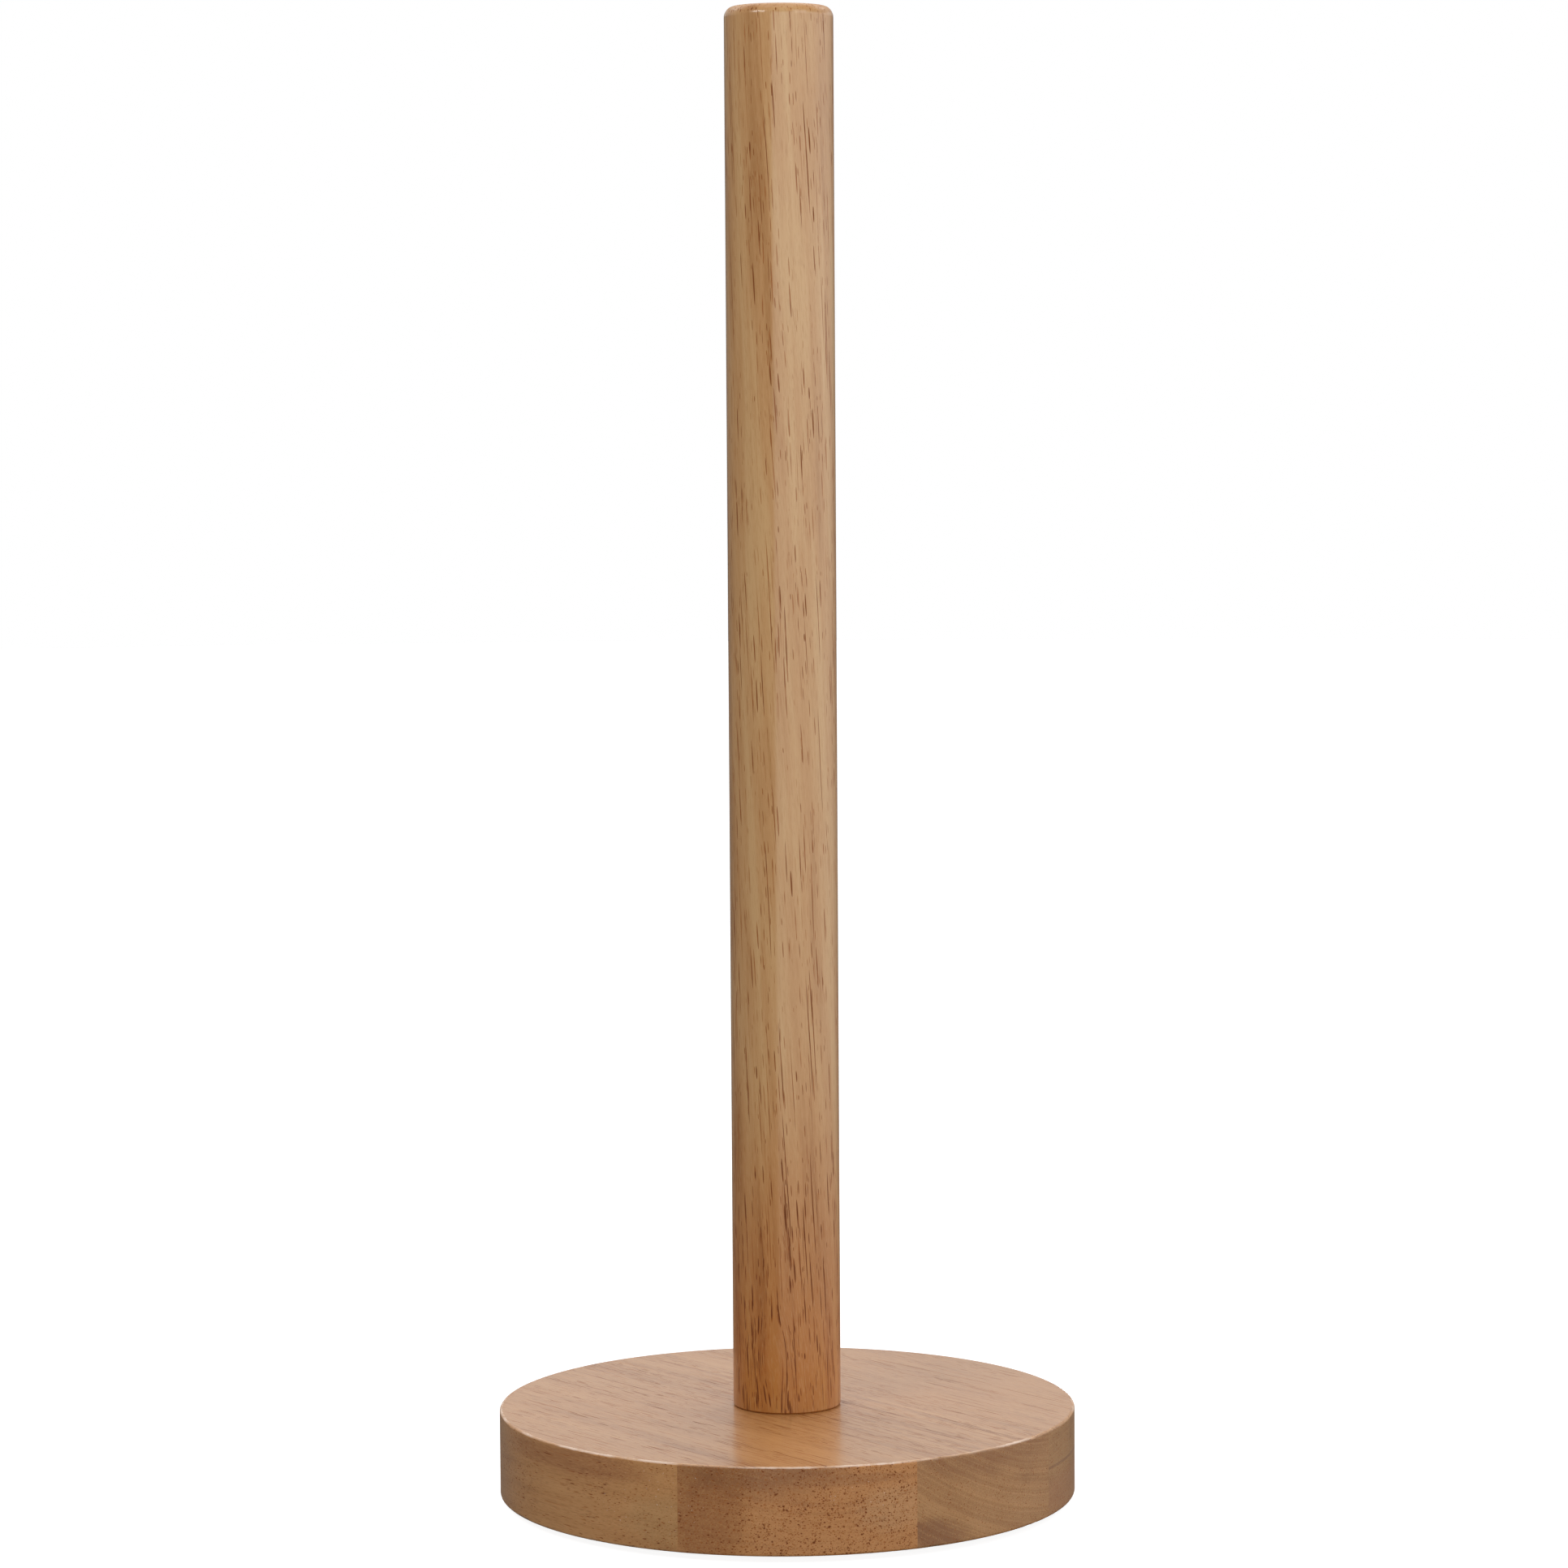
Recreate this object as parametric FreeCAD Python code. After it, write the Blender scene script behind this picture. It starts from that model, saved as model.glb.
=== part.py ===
import FreeCAD, Part
import math
import os

# Free-standing paper towel holder.
# A round base is glued up from parallel staves, and a straight turned post stands on it.
# One screw from beneath pulls the post down onto the base, through a threaded insert in the post's foot.
# Millimetres, +Z up, front towards -Y. The origin is under the post's axis, on the surface that the pads stand on.

# Base
BASE_DIAMETER = 134.0
BASE_THICKNESS = 20.0
BASE_EDGE_RADIUS = 0.6

# Staves of the base, counted from its front left rim towards the rear right
STAVE_COUNT = 4
STAVE_WIDTH = 42.35
FIRST_STAVE_WIDTH = 8.8
GRAIN_ANGLE = -51.0  # direction of the grain seen from above, in degrees from +X

# Post
POST_DIAMETER = 25.0
POST_HEIGHT = 323.0
POST_TOP_RADIUS = 2.5
POST_FOOT_CHAMFER = 0.4

# Foot pads
PAD_DIAMETER = 12.0
PAD_THICKNESS = 1.5
PAD_EDGE_RADIUS = 0.4
PAD_INSET = 7.0  # from the rim of the base to the edge of a pad
PAD_FIRST_ANGLE = -45.0
PAD_NAMES = ("foot_pad_front_right", "foot_pad_rear_right", "foot_pad_rear_left", "foot_pad_front_left")

# Screw
SCREW_DIAMETER = 6.0
SCREW_THREAD_DEPTH = 0.6
SCREW_PITCH = 1.0
SCREW_LENGTH = 30.0  # below the head
SCREW_NECK = 1.2  # plain length between the head and the thread
SCREW_POINT_CHAMFER = 0.8
SCREW_HEAD_DIAMETER = 10.5
SCREW_HEAD_HEIGHT = 3.3
SCREW_HEAD_EDGE = 0.6  # straight side of the head, above its dome
SCREW_HEAD_FLAT_DIAMETER = 6.0
SCREW_SOCKET_FLATS = 4.0
SCREW_SOCKET_DEPTH = 2.0

# Washer
WASHER_DIAMETER = 18.0
WASHER_THICKNESS = 1.6
WASHER_BORE_CLEARANCE = 0.2  # around the screw

# Threaded insert
INSERT_WALL = 0.6  # outside the corners of the hexagonal mouth
INSERT_THREAD_DEPTH = 0.7
INSERT_PITCH = 2.0
INSERT_LENGTH = 13.0
INSERT_SINK = 0.5  # from the post's foot to the insert
INSERT_DRIVE_DEPTH = 3.0  # hexagonal mouth for the key that drives the insert in

# Holes and clearances
RECESS_DEPTH = 7.0  # sunk hole for the washer and the screw's head
RECESS_CLEARANCE = 1.0  # around the washer
SCREW_HOLE_CLEARANCE = 0.5  # around the screw in the base
SCREW_END_CLEARANCE = 2.0  # beyond the screw's end in the post
THREAD_CLEARANCE = 0.05  # around the screw's thread in the insert
DRIVE_CLEARANCE = 0.2  # around the screw in the insert's hexagonal mouth
DRILL_POINT_ANGLE = 118.0

# Thread form
THREAD_CREST_SHARE = 0.125  # flat crest, as a share of the pitch
THREAD_FLANK_ANGLE = 30.0  # half of the angle between the flanks

# Hexagons
HEXAGON_CORNER = 1 / math.cos(math.radians(30))  # distance to a corner over the distance to a flat

# Heights and radii that follow from these sizes
BASE_BOTTOM = PAD_THICKNESS
BASE_TOP = BASE_BOTTOM + BASE_THICKNESS
RECESS_CEILING = BASE_BOTTOM + RECESS_DEPTH
HEAD_SEAT = RECESS_CEILING - WASHER_THICKNESS
SCREW_END = HEAD_SEAT + SCREW_LENGTH
INSERT_BOTTOM = BASE_TOP + INSERT_SINK
INSERT_TOP = INSERT_BOTTOM + INSERT_LENGTH
POST_HOLE_TOP = max(SCREW_END, INSERT_TOP) + SCREW_END_CLEARANCE
BASE_RADIUS = BASE_DIAMETER / 2
POST_RADIUS = POST_DIAMETER / 2
SCREW_RADIUS = SCREW_DIAMETER / 2
SCREW_ROOT_RADIUS = SCREW_RADIUS - SCREW_THREAD_DEPTH
DRIVE_FLATS = SCREW_DIAMETER + 2 * DRIVE_CLEARANCE
INSERT_ROOT_RADIUS = DRIVE_FLATS / 2 * HEXAGON_CORNER + INSERT_WALL
INSERT_RADIUS = INSERT_ROOT_RADIUS + INSERT_THREAD_DEPTH

CENTRE = FreeCAD.Vector(0, 0, 0)
UP = FreeCAD.Vector(0, 0, 1)


def cylinder(radius, bottom, top):
    """Upright cylinder on the axis, between two heights."""
    return Part.makeCylinder(radius, top - bottom, FreeCAD.Vector(0, 0, bottom), UP)


def turned(outline):
    """Solid of revolution about the axis; outline lists (radius, height) points."""
    points = [FreeCAD.Vector(radius, 0, height) for radius, height in outline]
    wire = Part.makePolygon(points + points[:1])
    return Part.Face(wire).revolve(CENTRE, UP, 360)


def hexagonal_prism(across_flats, bottom, top):
    """Upright hexagonal prism on the axis, between two heights."""
    corner_radius = across_flats / 2 * HEXAGON_CORNER
    corners = []
    for number in range(6):
        angle = math.radians(60 * number)
        x = corner_radius * math.cos(angle)
        y = corner_radius * math.sin(angle)
        corners.append(FreeCAD.Vector(x, y, bottom))
    face = Part.Face(Part.makePolygon(corners + corners[:1]))
    return face.extrude(UP * (top - bottom))


def edges_at_height(shape, height):
    """The edges that lie flat at one height."""
    found = []
    for edge in shape.Edges:
        box = edge.BoundBox
        if abs(box.ZMin - height) < 1e-6 and abs(box.ZMax - height) < 1e-6:
            found.append(edge)
    return found


def thread_side(root_radius, crest_radius, pitch, bottom, top, datum):
    """(radius, height) points up one side of a thread, drawn as rings one pitch apart, counted from datum."""
    half_crest = pitch * THREAD_CREST_SHARE / 2
    flank = (crest_radius - root_radius) * math.tan(math.radians(THREAD_FLANK_ANGLE))
    reach = half_crest + flank
    first = math.ceil((bottom + reach - datum) / pitch)
    last = math.floor((top - reach - datum) / pitch)
    side = [(root_radius, bottom)]
    for number in range(first, last + 1):
        middle = datum + number * pitch
        side.append((root_radius, middle - reach))
        side.append((crest_radius, middle - half_crest))
        side.append((crest_radius, middle + half_crest))
        side.append((root_radius, middle + reach))
    side.append((root_radius, top))
    return side


def insert_outer_side():
    """The insert's coarse outer thread, which the post's hole shares."""
    return thread_side(
        INSERT_ROOT_RADIUS, INSERT_RADIUS, INSERT_PITCH, INSERT_BOTTOM, INSERT_TOP, INSERT_BOTTOM
    )


def base_disc():
    """The whole base before it is parted at its glue lines."""
    disc = cylinder(BASE_RADIUS, BASE_BOTTOM, BASE_TOP)
    rims = edges_at_height(disc, BASE_BOTTOM) + edges_at_height(disc, BASE_TOP)
    disc = disc.makeFillet(BASE_EDGE_RADIUS, rims)
    screw_hole = cylinder(SCREW_RADIUS + SCREW_HOLE_CLEARANCE, BASE_BOTTOM, BASE_TOP)
    recess = cylinder(WASHER_DIAMETER / 2 + RECESS_CLEARANCE, BASE_BOTTOM, RECESS_CEILING)
    return disc.cut(screw_hole).cut(recess)


def stave_edges():
    """Distances of the staves' long sides from the axis, across the grain, from front left to rear right."""
    edges = [-BASE_RADIUS]
    edges.append(edges[0] + FIRST_STAVE_WIDTH)
    for _ in range(STAVE_COUNT - 2):
        edges.append(edges[-1] + STAVE_WIDTH)
    edges.append(BASE_RADIUS)
    return edges


def stave(disc, near, far):
    """The strip of the disc between two distances across the grain."""
    strip = Part.makeBox(
        BASE_DIAMETER, far - near, BASE_THICKNESS, FreeCAD.Vector(-BASE_RADIUS, near, BASE_BOTTOM)
    )
    strip.rotate(CENTRE, UP, GRAIN_ANGLE)
    return disc.common(strip).Solids[0]


def post():
    """Straight turned post with a rounded top edge, drilled from its foot for the insert and the screw."""
    body = cylinder(POST_RADIUS, BASE_TOP, BASE_TOP + POST_HEIGHT)
    body = body.makeFillet(POST_TOP_RADIUS, edges_at_height(body, BASE_TOP + POST_HEIGHT))
    body = body.makeChamfer(POST_FOOT_CHAMFER, edges_at_height(body, BASE_TOP))
    drill_point = INSERT_ROOT_RADIUS / math.tan(math.radians(DRILL_POINT_ANGLE / 2))
    hole = [(0, BASE_TOP), (INSERT_ROOT_RADIUS, BASE_TOP)]
    hole += insert_outer_side()
    hole += [(INSERT_ROOT_RADIUS, POST_HOLE_TOP), (0, POST_HOLE_TOP + drill_point)]
    return body.cut(turned(hole))


def post_insert():
    """Threaded insert: coarse thread outside, machine thread inside, hexagonal mouth for the driving key."""
    drive_top = INSERT_BOTTOM + INSERT_DRIVE_DEPTH
    body = turned([(0, INSERT_BOTTOM)] + insert_outer_side() + [(0, INSERT_TOP)])
    threaded_hole = thread_side(
        SCREW_ROOT_RADIUS + THREAD_CLEARANCE,
        SCREW_RADIUS + THREAD_CLEARANCE,
        SCREW_PITCH,
        INSERT_BOTTOM,
        INSERT_TOP,
        BASE_TOP,
    )
    body = body.cut(turned([(0, INSERT_BOTTOM)] + threaded_hole + [(0, INSERT_TOP)]))
    return body.cut(hexagonal_prism(DRIVE_FLATS, INSERT_BOTTOM, drive_top))


def screw_head():
    """Domed head with a hexagonal socket, hanging below its seat."""
    edge_bottom = HEAD_SEAT - SCREW_HEAD_EDGE
    head_bottom = HEAD_SEAT - SCREW_HEAD_HEIGHT
    head_radius = SCREW_HEAD_DIAMETER / 2
    flat_radius = SCREW_HEAD_FLAT_DIAMETER / 2
    dome_start = FreeCAD.Vector(head_radius, 0, edge_bottom)
    dome_end = FreeCAD.Vector(flat_radius, 0, head_bottom)
    chord_middle = (dome_start + dome_end) * 0.5
    outward = FreeCAD.Vector(dome_start.z - dome_end.z, 0, dome_end.x - dome_start.x).normalize()
    dome_middle = chord_middle + outward * (SCREW_HEAD_EDGE / 2)
    seat_rim = FreeCAD.Vector(head_radius, 0, HEAD_SEAT)
    seat_centre = FreeCAD.Vector(0, 0, HEAD_SEAT)
    bottom_centre = FreeCAD.Vector(0, 0, head_bottom)
    wire = Part.Wire(
        [
            Part.makeLine(seat_centre, seat_rim),
            Part.makeLine(seat_rim, dome_start),
            Part.Arc(dome_start, dome_middle, dome_end).toShape(),
            Part.makeLine(dome_end, bottom_centre),
            Part.makeLine(bottom_centre, seat_centre),
        ]
    )
    head = Part.Face(wire).revolve(CENTRE, UP, 360)
    return head.cut(hexagonal_prism(SCREW_SOCKET_FLATS, head_bottom, head_bottom + SCREW_SOCKET_DEPTH))


def post_screw():
    """Machine screw, head down in the base's recess, its thread in the post's insert."""
    thread_bottom = HEAD_SEAT + SCREW_NECK
    thread_top = SCREW_END - SCREW_POINT_CHAMFER
    side = thread_side(
        SCREW_ROOT_RADIUS, SCREW_RADIUS, SCREW_PITCH, thread_bottom, thread_top, BASE_TOP
    )
    end_radius = SCREW_ROOT_RADIUS - SCREW_POINT_CHAMFER
    outline = [(0, HEAD_SEAT), (SCREW_ROOT_RADIUS, HEAD_SEAT)] + side
    outline += [(end_radius, SCREW_END), (0, SCREW_END)]
    return screw_head().fuse(turned(outline)).removeSplitter()


def post_screw_washer():
    """Flat washer between the screw's head and the recess's ceiling."""
    ring = cylinder(WASHER_DIAMETER / 2, HEAD_SEAT, RECESS_CEILING)
    return ring.cut(cylinder(SCREW_RADIUS + WASHER_BORE_CLEARANCE, HEAD_SEAT, RECESS_CEILING))


def foot_pad(angle):
    """Round anti-slip pad under the base, its lower edge rounded."""
    centre_distance = BASE_RADIUS - PAD_INSET - PAD_DIAMETER / 2
    pad = cylinder(PAD_DIAMETER / 2, 0, PAD_THICKNESS)
    pad = pad.makeFillet(PAD_EDGE_RADIUS, edges_at_height(pad, 0))
    pad.translate(FreeCAD.Vector(centre_distance, 0, 0))
    pad.rotate(CENTRE, UP, angle)
    return pad


def export(shape, node):
    """Write one piece as a closed solid."""
    if not shape.isValid():
        raise ValueError(node + " is not a valid shape")
    if len(shape.Solids) != 1:
        raise ValueError(node + " is not one solid")
    print(node, round(shape.Volume, 1), "mm3", shape.BoundBox)
    shape.Solids[0].exportStep("parts/" + node + ".step")


os.makedirs("parts", exist_ok=True)

whole_base = base_disc()
edges = stave_edges()
for number in range(STAVE_COUNT):
    export(stave(whole_base, edges[number], edges[number + 1]), "base_stave_" + str(number + 1))

export(post(), "post")
export(post_insert(), "post_insert")
export(post_screw(), "post_screw")
export(post_screw_washer(), "post_screw_washer")

for number, pad_name in enumerate(PAD_NAMES):
    export(foot_pad(PAD_FIRST_ANGLE + 360 / len(PAD_NAMES) * number), pad_name)
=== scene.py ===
import bpy
from math import cos, hypot, pi, radians, sin
from mathutils import Matrix, Vector


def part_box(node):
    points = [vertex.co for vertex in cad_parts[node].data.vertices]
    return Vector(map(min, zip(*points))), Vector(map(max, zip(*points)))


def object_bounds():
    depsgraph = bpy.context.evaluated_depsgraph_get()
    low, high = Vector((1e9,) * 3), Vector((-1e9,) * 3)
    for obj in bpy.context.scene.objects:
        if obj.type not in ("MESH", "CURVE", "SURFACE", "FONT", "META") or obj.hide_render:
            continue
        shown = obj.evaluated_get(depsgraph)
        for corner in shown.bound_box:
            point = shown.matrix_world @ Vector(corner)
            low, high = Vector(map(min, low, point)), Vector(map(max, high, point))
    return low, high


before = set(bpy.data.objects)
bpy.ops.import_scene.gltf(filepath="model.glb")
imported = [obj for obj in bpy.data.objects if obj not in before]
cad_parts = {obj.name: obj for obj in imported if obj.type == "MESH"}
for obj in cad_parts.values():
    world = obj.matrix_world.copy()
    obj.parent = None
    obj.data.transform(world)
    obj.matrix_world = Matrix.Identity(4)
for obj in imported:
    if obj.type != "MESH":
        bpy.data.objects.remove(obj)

CAD_LOW, CAD_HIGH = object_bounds()
MM = 0.001

# The holder is a round base, glued up from four staves of rubberwood, with a turned rubberwood post on it.
# Base and post are finished in a clear satin lacquer.
STAVES = ("base_stave_1", "base_stave_2", "base_stave_3", "base_stave_4")
PADS = ("foot_pad_front_right", "foot_pad_rear_right", "foot_pad_rear_left", "foot_pad_front_left")

BASE_LOW, BASE_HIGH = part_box("base_stave_4")
BASE_BOTTOM = BASE_LOW.z
BASE_TOP = BASE_HIGH.z
BASE_RADIUS = CAD_HIGH.x


def in_metres(sizes):
    return [size * MM for size in sizes]


def colour(red, green, blue):
    return (red, green, blue, 1.0)


# ---------------------------------------------------------------- shader building


class Value:
    """A number that a node gives. Arithmetic on it adds Math nodes to the same finish."""

    def __init__(self, finish, socket):
        self.finish = finish
        self.socket = socket

    def maths(self, operation, *others):
        inputs = {0: self}
        for place, other in enumerate(others, start=1):
            inputs[place] = other
        return self.finish.node("ShaderNodeMath", {"operation": operation}, inputs).value("Value")

    def __add__(self, other):
        return self.maths("ADD", other)

    def __sub__(self, other):
        return self.maths("SUBTRACT", other)

    def __mul__(self, other):
        return self.maths("MULTIPLY", other)

    def __truediv__(self, other):
        return self.maths("DIVIDE", other)

    def __radd__(self, other):
        return self + other

    def __rmul__(self, other):
        return self * other

    def __rsub__(self, other):
        return (self * -1.0) + other

    def __neg__(self):
        return self * -1.0

    def __abs__(self):
        return self.maths("ABSOLUTE")

    def root(self):
        return self.maths("SQRT")

    def least(self, other):
        return self.maths("MINIMUM", other)

    def most(self, other):
        return self.maths("MAXIMUM", other)

    def step(self, start, end, low=0.0, high=1.0):
        """Eases from low to high as this value goes from start to end."""
        inputs = {"Value": self, "From Min": start, "From Max": end, "To Min": low, "To Max": high}
        settings = {"interpolation_type": "SMOOTHSTEP", "clamp": True}
        return self.finish.node("ShaderNodeMapRange", settings, inputs).value("Result")

    def band(self, rise_start, rise_end, fall_start, fall_end):
        """Eases from 0 to 1 over the rise, and back to 0 over the fall."""
        return self.step(rise_start, rise_end) * self.step(fall_start, fall_end, 1.0, 0.0)


class Placed:
    """A node that has been added, with its outputs by name."""

    def __init__(self, finish, made):
        self.finish = finish
        self.made = made

    def value(self, name):
        return Value(self.finish, self.made.outputs[name])

    def out(self, name):
        return self.made.outputs[name]


class Finish:
    """The node tree of a material or of the world, and the ways to add to it."""

    def __init__(self, tree):
        self.tree = tree
        self.tree.nodes.clear()

    def node(self, kind, settings, inputs):
        """Adds a node of any kind: its settings first, then the values or links of its sockets."""
        made = self.tree.nodes.new(kind)
        for name, setting in settings.items():
            setattr(made, name, setting)
        for name, given in inputs.items():
            if isinstance(given, Value):
                given = given.socket
            if isinstance(given, bpy.types.NodeSocket):
                self.tree.links.new(given, made.inputs[name])
            else:
                made.inputs[name].default_value = given
        return Placed(self, made)

    def place(self):
        """Position on the object, in metres."""
        return self.node("ShaderNodeTexCoord", {}, {}).out("Object")

    def along_grain(self, place, turn, cell, centre=(0.0, 0.0, 0.0)):
        """Measures a place from a centre, turned so that X runs along the grain, in cells of a size."""
        inputs = {"Vector": place, "Location": centre, "Rotation": turn, "Scale": cell}
        return self.node("ShaderNodeMapping", {"vector_type": "TEXTURE"}, inputs).out("Vector")

    def vector(self, operation, first, second):
        made = self.node("ShaderNodeVectorMath", {"operation": operation}, {0: first, 1: second})
        return made.out("Vector")

    def parts(self, vector):
        split = self.node("ShaderNodeSeparateXYZ", {}, {"Vector": vector})
        return split.value("X"), split.value("Y"), split.value("Z")

    def joined(self, x, y=0.0, z=0.0):
        return self.node("ShaderNodeCombineXYZ", {}, {"X": x, "Y": y, "Z": z}).out("Vector")

    def noise_node(self, vector, scale=1.0, detail=2.0, roughness=0.5):
        inputs = {"Vector": vector, "Scale": scale, "Detail": detail, "Roughness": roughness}
        return self.node("ShaderNodeTexNoise", {"noise_dimensions": "3D"}, inputs)

    def noise(self, vector, **look):
        """A soft random number round 0.5."""
        return self.noise_node(vector, **look).value("Fac")

    def mix(self, share, first, second, blend="MIX"):
        """A colour between first and second. Sockets 6 and 7 take colours, and output 2 gives one."""
        settings = {"data_type": "RGBA", "blend_type": blend, "clamp_result": False}
        inputs = {0: share, 6: first, 7: second}
        return self.node("ShaderNodeMix", settings, inputs).made.outputs[2]

    def surface(self, inputs):
        """Ends a material with a Principled shader."""
        shader = self.node("ShaderNodeBsdfPrincipled", {}, inputs)
        self.node("ShaderNodeOutputMaterial", {}, {"Surface": shader.out("BSDF")})

    def bump(self, height, depth):
        """A normal from a height that goes from 0 to 1 over depth metres."""
        inputs = {"Strength": 1.0, "Distance": depth, "Height": height}
        return self.node("ShaderNodeBump", {}, inputs).out("Normal")


def new_material(name):
    material = bpy.data.materials.new(name)
    material.use_nodes = True
    return material, Finish(material.node_tree)


def finish_nodes(material, names):
    """Gives a material to every slot of some CAD nodes."""
    for name in names:
        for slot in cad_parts[name].material_slots:
            slot.material = material


# ---------------------------------------------------------------- rubberwood: its grain


STAVE_TURN = (0.0, 0.0, radians(-51))  # the staves' grain runs from the rear left to the front right
POST_TURN = (0.0, radians(-90), 0.0)  # the post's grain runs up it
POST_SPIRAL = 4.4  # radians per metre: on its surface the post's grain leans 3 degrees

# Markings: how far one reaches along the grain, and twice across it, in millimetres
SWAY_ACROSS = 7
FIBRE = (11, 0.30, 0.30)
FLECK = (2.4, 0.26, 0.26)
STRIPE = (75, 3.4, 3.4)
CLOUD = (55, 8, 8)
BREAK = (5.0, 0.7, 0.7)

RING_SCALE = 0.22  # growth rings and lines, to the millimetre from the pith
LINE_SCALE = 1.3
RING_DRIFT = 5.0  # how fast rings change along the grain, per metre
RAY_WIDTH = 0.16  # rays, in millimetres: round the pith, out from it, and along the grain
RAY_LENGTH = 1.6
RAYS_ALONG = 300.0  # to the metre

EYE_PUSH = 0.72  # how far an eye pushes the grain aside, as a share of its reach
FOOT_RISE = 95 * MM  # how far up the post its deeper foot fades out


class Board:
    """What differs between one piece of rubberwood and the next. Lengths are in millimetres."""

    def __init__(self, turn, pith, seed, tones):
        self.turn = turn  # brings X onto the grain
        self.pith = pith  # the tree's centre, across the grain and up
        self.seed = seed  # moves its patterns off those of the other boards
        self.light, self.middle, self.dark = [colour(*tone) for tone in tones]
        self.end_tint = (1.0, 1.0, 1.0)  # multiplies the colour of its end grain
        self.ring_share = 0.5  # how strongly the growth rings show
        self.line_share = 0.25  # how strongly the fine lines between them show
        self.cloud_share = 0.45  # how strongly its tone drifts
        self.stripe_share = 0.25  # how strongly stripes along the grain show
        self.streak_share = 0.8  # how strongly single fibres show
        self.sway = (0.9, 0.7, 0.4)  # how far the grain wanders
        self.sway_run = 130  # how far along the grain it wanders one way
        self.spiral = 0.0  # how fast the grain winds round the post
        self.eye = None  # (centre, reach) of a small eye that the grain runs round
        self.plenty = 0.8  # how many of its pores are open
        self.fine_more = 0.2  # how many more of the finest pores than of the others
        self.pore_width = 1.0  # how wide its pores are, as a share of their kind's radius
        self.pore_depth = 0.8  # how dark its pores are
        self.dots_wider = 0.0  # how much wider its pores are on end grain
        self.crowds = []  # (centre, reach) of places with thick short pores close together
        self.stains = []  # (centre, reach, colour, strength) of deeper patches
        self.specks = []  # (centre, reach) of places where the lacquer fills the pores white
        self.lacquer_roughness = 0.22
        self.end_drinks = 0.45  # how much of the lacquer its end grain soaks up
        self.arris = False  # whether it has some of the base's upper edge, with a highlight painted along it
        self.deep_foot = False  # whether its lowest part is deeper and redder


def parted_round(finish, place, eye):
    """Pushes the grain aside round a small eye. Gives the new place, and how far off the eye it is."""
    centre, reach = eye
    near = finish.along_grain(place, (0.0, 0.0, 0.0), in_metres(reach), in_metres(centre))
    sideways, inward, upward = finish.parts(near)
    off = sideways * sideways + inward * inward + upward * upward
    swell = (1.0 - off).most(0.0)
    push = sideways * swell * swell * (-EYE_PUSH * reach[0] * MM)
    return finish.vector("ADD", place, finish.joined(push)), off


def wandering_grain(finish, place, board):
    """Moves a place as the grain parts, wanders and winds.

    Gives the new place, and how far off the eye it is, if there is one.
    """
    bent = place
    off_eye = None
    if board.eye is not None:
        bent, off_eye = parted_round(finish, place, board.eye)
    cell = in_metres((board.sway_run, SWAY_ACROSS, SWAY_ACROSS))
    cells = finish.along_grain(bent, board.turn, cell, board.seed)
    drift = finish.noise_node(cells, detail=1.0).out("Color")
    sway = finish.vector("SUBTRACT", drift, (0.5, 0.5, 0.5))
    sway = finish.vector("MULTIPLY", sway, [part * 2 * MM for part in board.sway])
    bent = finish.vector("ADD", bent, sway)
    if board.spiral:
        height = finish.parts(place)[2]
        wound = {"Vector": bent, "Angle": height * board.spiral}
        bent = finish.node("ShaderNodeVectorRotate", {"rotation_type": "Z_AXIS"}, wound).out("Vector")
    return bent, off_eye


def growth(finish, bent, board):
    """Growth rings about the pith, the fine lines between them, and the pale rays that run out from it."""
    along, side, rise = finish.parts(finish.along_grain(bent, board.turn, (1.0, 1.0, 1.0)))
    side_off = side - board.pith[0] * MM
    rise_off = rise - board.pith[1] * MM
    out = (side_off * side_off + rise_off * rise_off).root() * (1 / MM)
    ring_place = finish.joined(out, along * RING_DRIFT)
    rings = finish.noise(ring_place, scale=RING_SCALE, roughness=0.6)
    lines = finish.noise(ring_place, scale=LINE_SCALE, detail=3.0, roughness=0.7)
    round_pith = side_off.maths("ARCTAN2", rise_off) * (hypot(*board.pith) / RAY_WIDTH)
    ray_place = finish.joined(round_pith, out / RAY_LENGTH, along * RAYS_ALONG)
    rays = finish.noise(ray_place, detail=1.0).step(0.56, 0.78)
    return rings, lines, rays


def deep_foot(finish, place):
    """1 at the post's foot, fading out up the post."""
    height = finish.parts(place)[2]
    return (height - BASE_TOP).step(0.0, FOOT_RISE, 1.0, 0.0)


class Figure:
    """What the wood of a board shows at a place, before any colour."""

    def __init__(self, finish, board):
        self.finish = finish
        self.board = board
        self.place = finish.place()
        self.bent, self.off_eye = wandering_grain(finish, self.place, board)
        self.rings, self.lines, self.rays = growth(finish, self.bent, board)
        self.fibre = self.marking(FIBRE, detail=3.0, roughness=0.6)
        self.fleck = self.marking(FLECK)
        self.stripe = self.marking(STRIPE, roughness=0.6)
        self.cloud = self.marking(CLOUD)
        self.deep = deep_foot(finish, self.place) if board.deep_foot else 0.0

        facing = finish.node("ShaderNodeNewGeometry", {}, {}).out("Normal")
        facing_along = finish.parts(finish.along_grain(facing, board.turn, (1.0, 1.0, 1.0)))[0]
        self.upright = abs(finish.parts(facing)[2]).step(0.3, 0.8, 1.0, 0.0)
        self.end_grain = abs(facing_along).step(0.25, 0.85)

        tone = (self.rings - 0.5) * board.ring_share + (self.cloud - 0.5) * board.cloud_share + 0.5
        self.tone = tone + (self.stripe - 0.5) * (1.0 - self.end_grain * 0.8) * board.stripe_share

    def marking(self, sizes, **look):
        """Noise drawn out along the grain."""
        cells = self.finish.along_grain(self.bent, self.board.turn, in_metres(sizes), self.board.seed)
        return self.finish.noise(cells, **look)


# ---------------------------------------------------------------- rubberwood: its pores


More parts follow.
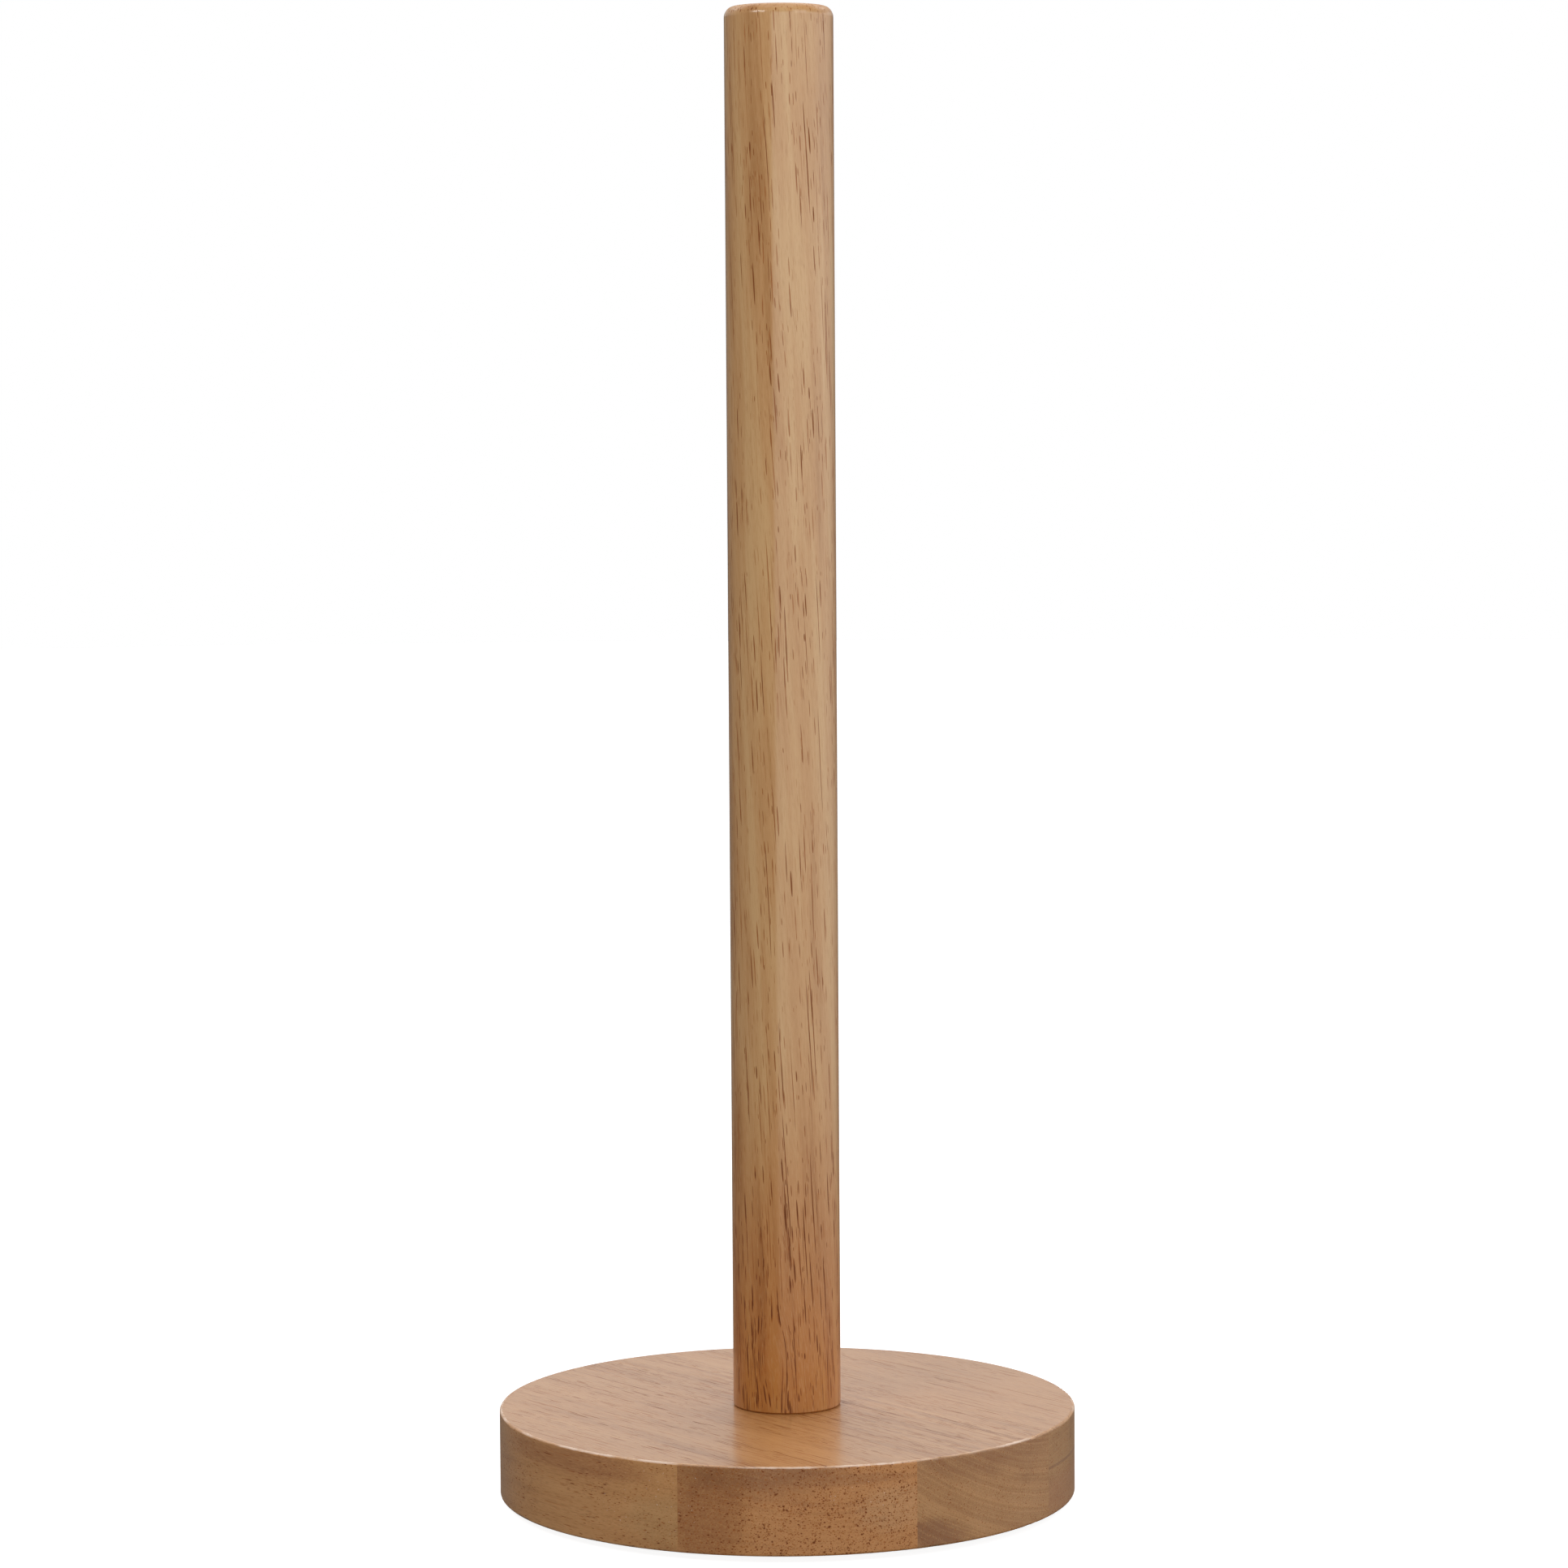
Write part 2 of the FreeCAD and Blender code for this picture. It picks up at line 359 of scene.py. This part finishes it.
PORE = colour(0.120, 0.028, 0.006)
FAINT_PORE = colour(0.340, 0.108, 0.018)  # the edge of a pore, and the stained wood round it
FILLED_PORE = colour(0.80, 0.70, 0.56)


class PoreKind:
    """One size of pore. Lengths are in millimetres."""

    def __init__(self, cell, radius, half_length, shift):
        self.cell = cell  # the room that each has, along the grain and twice across it
        self.radius = radius
        self.half_length = half_length
        self.shift = shift  # moves its pattern off those of the other kinds


LONG_PORES = PoreKind((34.0, 0.58, 0.58), 0.120, 16.0, 0.0)
SHORT_PORES = PoreKind((13.0, 0.68, 0.68), 0.155, 5.5, 0.31)
FINE_PORES = PoreKind((5.0, 0.36, 0.36), 0.105, 2.3, 0.57)
THICK_PORES = PoreKind((7.5, 0.80, 0.80), 0.26, 3.6, 0.77)
FILLED_PORES = PoreKind((0.9, 0.9, 0.9), 0.15, 0.3, 0.83)
SHORTEST = 0.25  # the shortest pore, as a share of the longest of its kind
NARROWEST = 0.6  # the narrowest pore, as a share of the widest
STAIN_SPREAD = 2.4  # how much wider the stained wood is than its pore


def vessels(finish, place, board, kind, plenty, wider=1.0):
    """Open pores: thin tubes along the grain, dashes on a side and dots on an end.

    Gives how far inside a dark pore a place is, and how far inside the stained wood round it.
    """
    seed = [part + kind.shift for part in board.seed]
    cells = finish.along_grain(place, board.turn, in_metres(kind.cell), seed)
    found = finish.node(
        "ShaderNodeTexVoronoi",
        {"voronoi_dimensions": "3D", "feature": "F1"},
        {"Vector": cells, "Scale": 1.0, "Randomness": 1.0},
    )
    along, side, rise = finish.parts(finish.vector("SUBTRACT", cells, found.out("Position")))
    reach, width, chance = finish.parts(found.out("Color"))
    length = kind.half_length * (SHORTEST + (1.0 - SHORTEST) * reach)
    run = abs(along) * kind.cell[0] / length
    across = (side * side + rise * rise).root() * kind.cell[1]
    radius = kind.radius * wider
    edge = (1.0 - run * run).most(0.0).root() * (NARROWEST + (1.0 - NARROWEST) * width) * radius
    kept = (chance + plenty - 1.0).step(-0.05, 0.85)
    core = ((edge - across) / radius).step(-0.10, 0.25) * kept
    stained = ((edge * STAIN_SPREAD - across) / radius).step(0.0, 1.6) * kept
    return core, stained


def soft_patch(finish, place, turn, centre, reach, ragged=0.7):
    """1 at the middle of a patch, 0 outside it, with a ragged edge. Reach is along the grain first."""
    near = finish.along_grain(place, turn, in_metres(reach), in_metres(centre))
    far = finish.node("ShaderNodeVectorMath", {"operation": "LENGTH"}, {0: near}).value("Value")
    rag = finish.noise(near, scale=2.2, detail=3.0, roughness=0.6)
    return (far + (rag - 0.5) * ragged).step(0.45, 1.15, 1.0, 0.0)


def open_pores(finish, board, figure):
    """Long pores, short wide ones, a scatter of the finest, and crowds of thick ones.

    Gives how far inside a pore a place is, and how far inside stained wood.
    """
    bent = figure.bent
    plenty = board.plenty + (figure.tone - 0.5) * 0.5 + (figure.stripe - 0.5) * 1.3 + figure.deep * 0.35
    if figure.off_eye is not None:
        plenty = plenty + figure.off_eye.step(0.20, 0.60) * figure.off_eye.step(0.8, 1.7, 0.6, 0.0)
    wider = figure.end_grain * board.dots_wider + board.pore_width
    long_pores, long_stain = vessels(finish, bent, board, LONG_PORES, plenty, wider)
    short_pores, short_stain = vessels(finish, bent, board, SHORT_PORES, plenty, wider)
    fine_pores = vessels(finish, bent, board, FINE_PORES, plenty + board.fine_more, wider)[0]
    broken = figure.marking(BREAK).step(0.32, 0.56, 0.5, 1.0)
    pores = long_pores.most(short_pores).most(fine_pores * 0.75) * broken
    stain = long_stain.most(short_stain)
    if board.crowds:
        patches = [soft_patch(finish, figure.place, board.turn, *crowd) for crowd in board.crowds]
        thick_pores, thick_stain = vessels(finish, bent, board, THICK_PORES, sum(patches) * 1.6)
        pores = pores.most(thick_pores)
        stain = stain.most(thick_stain)
    if figure.off_eye is not None:
        clear = figure.off_eye.step(0.08, 0.30)
        pores = pores * clear
        stain = stain * clear
    return pores, stain


def with_pores(finish, board, figure, wood, pores, stain):
    """Stains the wood round the pores, darkens the pores, and fills some with white lacquer."""
    wood = finish.mix(stain * 0.30, wood, FAINT_PORE)
    wood = finish.mix(pores.step(0.0, 0.55, 0.0, 0.85), wood, FAINT_PORE)
    dark = pores.step(0.30, 0.95, 0.0, board.pore_depth)
    if board.deep_foot:
        dark = dark * (0.65 + 0.35 * figure.deep.root())
    wood = finish.mix(dark, wood, PORE)
    for centre, reach in board.specks:
        lit = soft_patch(finish, figure.place, board.turn, centre, reach, 0.4)
        dots = vessels(finish, figure.place, board, FILLED_PORES, 0.5)[0]
        wood = finish.mix(dots * lit * 0.8, wood, FILLED_PORE)
    return wood


# ---------------------------------------------------------------- rubberwood: its colour and lacquer


STAVE_TONES = ((0.570, 0.290, 0.108), (0.500, 0.237, 0.078), (0.260, 0.100, 0.028))
POST_TONES = ((0.58, 0.345, 0.148), (0.52, 0.275, 0.105), (0.40, 0.185, 0.055))
FOOT_TINT = colour(0.82, 0.58, 0.30)
# the pale colour of the highlight painted along the base's upper edge
EDGE_HIGHLIGHT = colour(0.82, 0.64, 0.52)


def bare_wood(finish, board, figure):
    """The colour of the wood without its pores: tones, deeper patches, streaks and rays."""
    wood = finish.mix(figure.tone.step(0.22, 0.55), board.light, board.middle)
    wood = finish.mix(figure.tone.step(0.5, 0.85), wood, board.dark)
    if board.deep_foot:
        wood = finish.mix(figure.deep, wood, FOOT_TINT, "MULTIPLY")
    wood = finish.mix(figure.end_grain, wood, colour(*board.end_tint), "MULTIPLY")
    for centre, reach, patch_colour, strength in board.stains:
        patch = soft_patch(finish, figure.place, board.turn, centre, reach)
        wood = finish.mix(patch * figure.upright * strength, wood, colour(*patch_colour))
    streak = (figure.fibre - 0.5) * board.streak_share + (figure.fleck - 0.5) * 0.75
    streak = streak + (figure.lines - 0.5) * board.line_share
    wood = finish.mix((streak * 1.7).most(0.0).least(1.0), wood, board.dark)
    wood = finish.mix((streak * -1.3).most(0.0).least(1.0), wood, board.light)
    return finish.mix(figure.rays * 0.22, wood, board.light)


def painted_edge_highlight(finish, place):
    """The upper edge of the base, where a highlight is painted on as a ragged pale line.

    Gives where the edge is, and how strongly the painted highlight shows.
    """
    across, inward, height = finish.parts(place)
    out = (across * across + inward * inward).root()
    rag = finish.noise(place, scale=700.0, detail=3.0, roughness=0.7) - 0.5
    outer = (out + rag * (0.9 * MM)).step(BASE_RADIUS - 0.75 * MM, BASE_RADIUS - 0.35 * MM)
    upper = (height + rag * (0.3 * MM)).step(BASE_TOP - 0.42 * MM, BASE_TOP - 0.22 * MM)
    patchy = finish.noise(place, scale=90.0)
    edge = outer * upper
    return edge, edge * patchy.step(0.40, 0.62, 0.15, 0.75)


def rubberwood(name, board):
    """Rubberwood under a clear satin lacquer, which is thin in the pores and where the wood soaks it up."""
    material, finish = new_material(name)
    figure = Figure(finish, board)
    pores, stain = open_pores(finish, board, figure)
    wood = with_pores(finish, board, figure, bare_wood(finish, board, figure), pores, stain)
    lacquer = (1.0 - pores) * (1.0 - figure.end_grain * board.end_drinks)
    if board.deep_foot:
        lacquer = lacquer * (1.0 - figure.deep * 0.45)
    if board.arris:
        # paints a ragged pale highlight along the base's upper edge, and thins the lacquer there
        edge, painted_highlight = painted_edge_highlight(finish, figure.place)
        wood = finish.mix(painted_highlight, wood, EDGE_HIGHLIGHT)
        lacquer = lacquer * (1.0 - edge * 0.7)
    height = (figure.fibre * 0.14 + figure.lines * 0.05) - pores * 0.9
    finish.surface(
        {
            "Base Color": wood,
            "Roughness": 0.46 + 0.10 * figure.fibre + pores * 0.3,
            "IOR": 1.5,
            "Specular IOR Level": 0.2,
            "Coat Weight": lacquer,
            "Coat Roughness": board.lacquer_roughness,
            "Coat IOR": 1.5,
            "Normal": finish.bump(height, 0.05 * MM),
        }
    )
    return material


def on_rim(azimuth, height):
    """A place on the rim, in millimetres. Azimuth is in degrees from the front towards the right."""
    turn = radians(azimuth)
    return (sin(turn) * BASE_RADIUS / MM, -cos(turn) * BASE_RADIUS / MM, height)


def finish_staves():
    """Each stave is from another board: its own rings, tones and marks."""
    first = Board(STAVE_TURN, (-30, 130), (0.13, 0.41, 0.27), STAVE_TONES)
    first.line_share = 0.80
    first.plenty = 0.66
    first.stains = [
        (on_rim(-42, 18.5), (45, 6, 3.5), (0.32, 0.115, 0.032), 0.55),
        (on_rim(-24, 8.0), (12, 8, 7), (0.40, 0.25, 0.105), 0.35),
    ]
    first.specks = [(on_rim(-28, 12.0), (14, 9, 10))]

    second = Board(STAVE_TURN, (-34, 74), (0.57, 0.22, 0.31), STAVE_TONES)
    second.end_tint = (0.96, 0.86, 0.76)
    second.line_share = 0.70
    second.ring_share = 0.9
    second.dots_wider = 0.65
    second.stains = [
        (on_rim(-16, 9.0), (9, 14, 14), (0.25, 0.085, 0.024), 0.55),
        (on_rim(-7, 21.5), (20, 27, 7.5), (0.15, 0.050, 0.014), 0.55),
        (on_rim(14, 18.3), (9, 17, 1.5), (0.27, 0.105, 0.030), 0.45),
        (on_rim(21, 11.0), (10, 11, 6), (0.52, 0.29, 0.13), 0.45),
    ]
    second.specks = [(on_rim(14, 14.0), (12, 12, 6)), (on_rim(-20, 14.0), (8, 4, 9))]

    third = Board(STAVE_TURN, (36, 95), (0.31, 0.83, 0.64), STAVE_TONES)
    third.end_tint = (0.77, 0.80, 0.84)
    third.line_share = 1.5
    third.stains = [
        (on_rim(27, 4.0), (13, 12, 4.5), (0.17, 0.062, 0.022), 0.65),
        (on_rim(42, 21.5), (34, 30, 7.0), (0.19, 0.070, 0.022), 0.42),
    ]

    fourth = Board(STAVE_TURN, (45, -120), (0.75, 0.52, 0.93), STAVE_TONES)
    fourth.end_tint = (0.72, 0.77, 0.82)
    fourth.line_share = 0.60
    fourth.plenty = 0.76
    fourth.stains = [
        (on_rim(75, 5.5), (30, 30, 6), (0.34, 0.14, 0.055), 0.5),
        (on_rim(72, 12.7), (30, 30, 0.45), (0.17, 0.07, 0.030), 0.6),
    ]

    for node, board in zip(STAVES, (first, second, third, fourth)):
        board.arris = True
        finish_nodes(rubberwood(node + "_wood", board), [node])


def finish_post():
    """The post is paler and more striped than the base, with an eye and some thick pores at its foot."""
    board = Board(POST_TURN, (24, 30), (0.27, 0.61, 0.18), POST_TONES)
    board.end_tint = (0.86, 0.80, 0.72)
    board.cloud_share = 0.6
    board.stripe_share = 1.25
    board.streak_share = 0.42
    board.sway = (0.7, 0.2, 0.0)
    board.sway_run = 55
    board.spiral = POST_SPIRAL
    board.eye = ((-3.0, -12.1, 34.5), (5.2, 9.0, 14.0))
    board.plenty = 0.86
    board.fine_more = -0.1
    board.pore_width = 1.12
    board.pore_depth = 0.95
    board.crowds = [
        ((-3.5, -11.5, 26.0), (6.5, 6.0, 6.5)),
        ((-6.5, -10.5, 46.0), (12.0, 4.0, 2.6)),
        ((4.0, -11.8, 30.0), (8.0, 4.0, 2.2)),
    ]
    board.lacquer_roughness = 0.17
    board.end_drinks = 0.85
    board.deep_foot = True
    finish_nodes(rubberwood("post_wood", board), ["post"])


# ---------------------------------------------------------------- screw, washer, insert and pads


ZINC_PLATE = (0.62, 0.61, 0.58)
ZINC_CAST = (0.50, 0.50, 0.50)
FOAM = colour(0.018, 0.018, 0.019)
DUSTY_FOAM = colour(0.045, 0.044, 0.043)


def zinc(name, base, wear_scale):
    """Zinc, cast or plated on steel: a faint mottle and fine wear."""
    material, finish = new_material(name)
    place = finish.place()
    mottle = finish.noise(place, scale=900.0, detail=3.0)
    wear = finish.noise(place, scale=wear_scale, detail=4.0, roughness=0.7)
    dull = colour(*[part * 0.72 for part in base])
    finish.surface(
        {
            "Base Color": finish.mix(mottle.step(0.35, 0.7), colour(*base), dull),
            "Metallic": 1.0,
            "Roughness": 0.26 + 0.22 * wear,
            "Normal": finish.bump(wear, 0.01 * MM),
        }
    )
    return material


def pad_rubber():
    """Dull black foam rubber with a fine closed-cell grain."""
    material, finish = new_material("pad_foam_rubber")
    place = finish.place()
    cells = finish.node(
        "ShaderNodeTexVoronoi", {"feature": "F1"}, {"Vector": place, "Scale": 2600.0, "Randomness": 1.0}
    ).value("Distance")
    dust = finish.noise(place, scale=500.0, detail=3.0)
    finish.surface(
        {
            "Base Color": finish.mix(dust.step(0.45, 0.75), FOAM, DUSTY_FOAM),
            "Roughness": 0.80 + 0.1 * dust,
            "Normal": finish.bump(cells, 0.05 * MM),
        }
    )
    return material


# ---------------------------------------------------------------- studio


FLOOR_RADIUS = 4.0
FLOOR_GREY = 0.35
SHADE = 0.90  # the floor is a shade less white near the holder
SHADE_START, SHADE_END = 0.12, 0.6  # distance from the middle, in metres
ROOM_FRONT, ROOM_BACK = 0.30, 0.13  # how brightly each part of the studio shines
SWEEP = 0.42
BACKLIGHT = 2.2
PANEL = 2.05


def is_camera_ray(finish):
    """1 for what the camera sees directly. The plain white is only for that and lights nothing."""
    return finish.node("ShaderNodeLightPath", {}, {}).value("Is Camera Ray")


def make_floor():
    """Plain pale floor, level with the underside of the pads."""
    bpy.ops.object.select_all(action="DESELECT")
    bpy.ops.mesh.primitive_circle_add(vertices=128, radius=FLOOR_RADIUS, fill_type="NGON")
    floor = bpy.context.object
    floor.name = "floor"
    floor.visible_glossy = False
    material, finish = new_material("pale_floor")
    right, back = finish.parts(finish.place())[:2]
    far = (right * right + back * back).root()
    white = far.step(SHADE_START, SHADE_END, SHADE, 1.0) * is_camera_ray(finish)
    matt = finish.node("ShaderNodeBsdfDiffuse", {}, {"Color": colour(FLOOR_GREY, FLOOR_GREY, FLOOR_GREY)})
    glow = finish.node("ShaderNodeEmission", {}, {"Color": white, "Strength": 1.0})
    both = finish.node("ShaderNodeAddShader", {}, {0: matt.out("BSDF"), 1: glow.out("Emission")})
    finish.node("ShaderNodeOutputMaterial", {}, {"Surface": both.out("Shader")})
    floor.data.materials.append(material)


def make_surroundings():
    """A soft white studio: a sweep and a backlight behind, and a low white panel, front and right.

    The room shines dimly all round. Elevations and azimuths are in degrees, and azimuth is 0 at the front
    and goes up towards the right.
    """
    world = bpy.data.worlds.new("soft_studio")
    bpy.context.scene.world = world
    world.use_nodes = True
    finish = Finish(world.node_tree)
    direction = finish.node("ShaderNodeTexCoord", {}, {}).out("Generated")
    right, back, up = finish.parts(direction)
    azimuth = right.maths("ARCTAN2", -back) * (180 / pi)
    elevation = up.maths("ARCSINE") * (180 / pi)
    room = back.step(-0.3, 0.6, ROOM_FRONT, ROOM_BACK)
    sweep = elevation.band(4.5, 8.5, 60.0, 75.0) * back.step(0.0, 0.4) * SWEEP
    backlight = elevation.band(24.0, 34.0, 58.0, 68.0) * back.step(0.30, 0.55) * BACKLIGHT
    panel = azimuth.band(-18.0, -13.0, 85.0, 158.0) * elevation.band(-28.0, 12.0, 12.0, 22.0) * PANEL
    camera_ray = is_camera_ray(finish)
    shine = (room + sweep + backlight + panel) * (1.0 - camera_ray) + camera_ray
    background = finish.node("ShaderNodeBackground", {}, {"Color": shine, "Strength": 1.0})
    finish.node("ShaderNodeOutputWorld", {}, {"Surface": background.out("Background")})


def area_light(name, place, aim, size, watts):
    """A soft rectangular lamp. Places and sizes are in metres."""
    light = bpy.data.lights.new(name, "AREA")
    light.shape = "RECTANGLE"
    light.size, light.size_y = size
    light.energy = watts
    holder = bpy.data.objects.new(name, light)
    bpy.context.scene.collection.objects.link(holder)
    holder.location = place
    holder.rotation_euler = (Vector(aim) - Vector(place)).to_track_quat("-Z", "Y").to_euler()


def make_lights():
    """A softbox at each side of the camera, aimed at the upper part of the post, and one overhead."""
    upper_post = (0, 0, 0.28)
    area_light("left_softbox", (-0.50, -0.50, 0.68), upper_post, (0.36, 0.13), 1.75)
    area_light("overhead_softbox", (0.0, 0.02, 1.25), (0, 0, 0), (0.7, 0.7), 3.2)
    area_light("right_softbox", (0.55, -0.50, 0.68), upper_post, (0.42, 0.30), 0.92)


def make_camera():
    """Long lens, in front of the holder, three quarters of the way up it, looking slightly down.

    Lengths are in metres and angles in radians.
    """
    distance = 1.0942
    sideways = 0.00017
    height = BASE_BOTTOM + 0.2528
    tilt_down = 0.0800
    roll = 0.0062
    lens = bpy.data.cameras.new("camera")
    lens.sensor_width = 36.0
    lens.lens = 109.09
    lens.clip_start = 0.01
    lens.clip_end = 50
    camera = bpy.data.objects.new("camera", lens)
    bpy.context.scene.collection.objects.link(camera)
    camera.location = (sideways, -distance, height)
    turn = Matrix.Rotation(pi / 2 - tilt_down, 4, "X") @ Matrix.Rotation(-roll, 4, "Z")
    camera.rotation_euler = turn.to_euler()
    bpy.context.scene.camera = camera


def set_colour_response():
    view = bpy.context.scene.view_settings
    view.view_transform = "Standard"
    view.look = "None"
    view.exposure = 0.0
    view.gamma = 1.0


def main():
    set_colour_response()
    make_camera()
    make_floor()
    make_surroundings()
    make_lights()
    finish_staves()
    finish_post()
    finish_nodes(zinc("screw_zinc_plated", ZINC_PLATE, 2500.0), ["post_screw", "post_screw_washer"])
    finish_nodes(zinc("insert_zinc_cast", ZINC_CAST, 1200.0), ["post_insert"])
    finish_nodes(pad_rubber(), PADS)


main()
